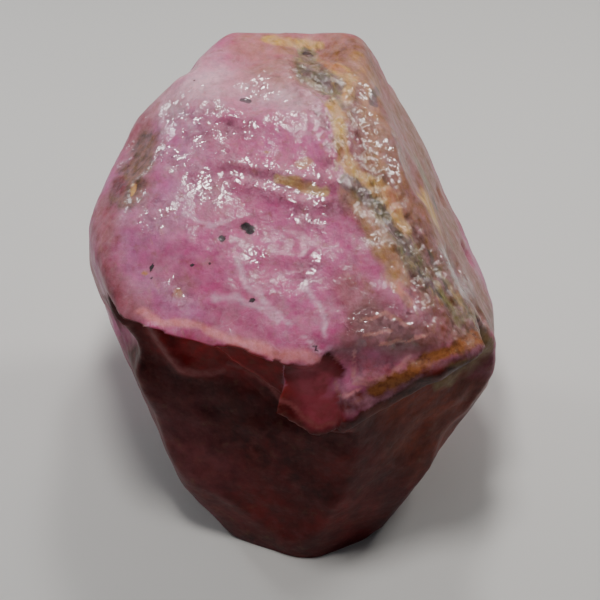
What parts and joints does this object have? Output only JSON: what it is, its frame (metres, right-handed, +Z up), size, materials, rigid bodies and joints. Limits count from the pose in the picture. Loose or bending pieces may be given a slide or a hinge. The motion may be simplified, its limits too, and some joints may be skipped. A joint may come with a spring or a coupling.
{
  "type": "raw ruby crystal",
  "caption": "Stubby rough ruby crystal, broken below its waist into a ledge, lying on a flat lower face; a display stone or lapidary rough.",
  "frame": {"origin": "centre of the bounding box on the surface that the crystal rests on", "axes": "+Z up from the resting face, -Y towards the broken front with the ledge, +X to the right seen from the front; the growth axis leans back from +Z towards +Y by 50 degrees"},
  "size_m": [0.0114, 0.0108, 0.0111],
  "materials": {
    "raw_ruby": "wet-looking uneven gloss, cloudy inside"
  },
  "bodies": {
    "root": {"ruby_crystal": "raw_ruby"}
  },
  "joints": []
}
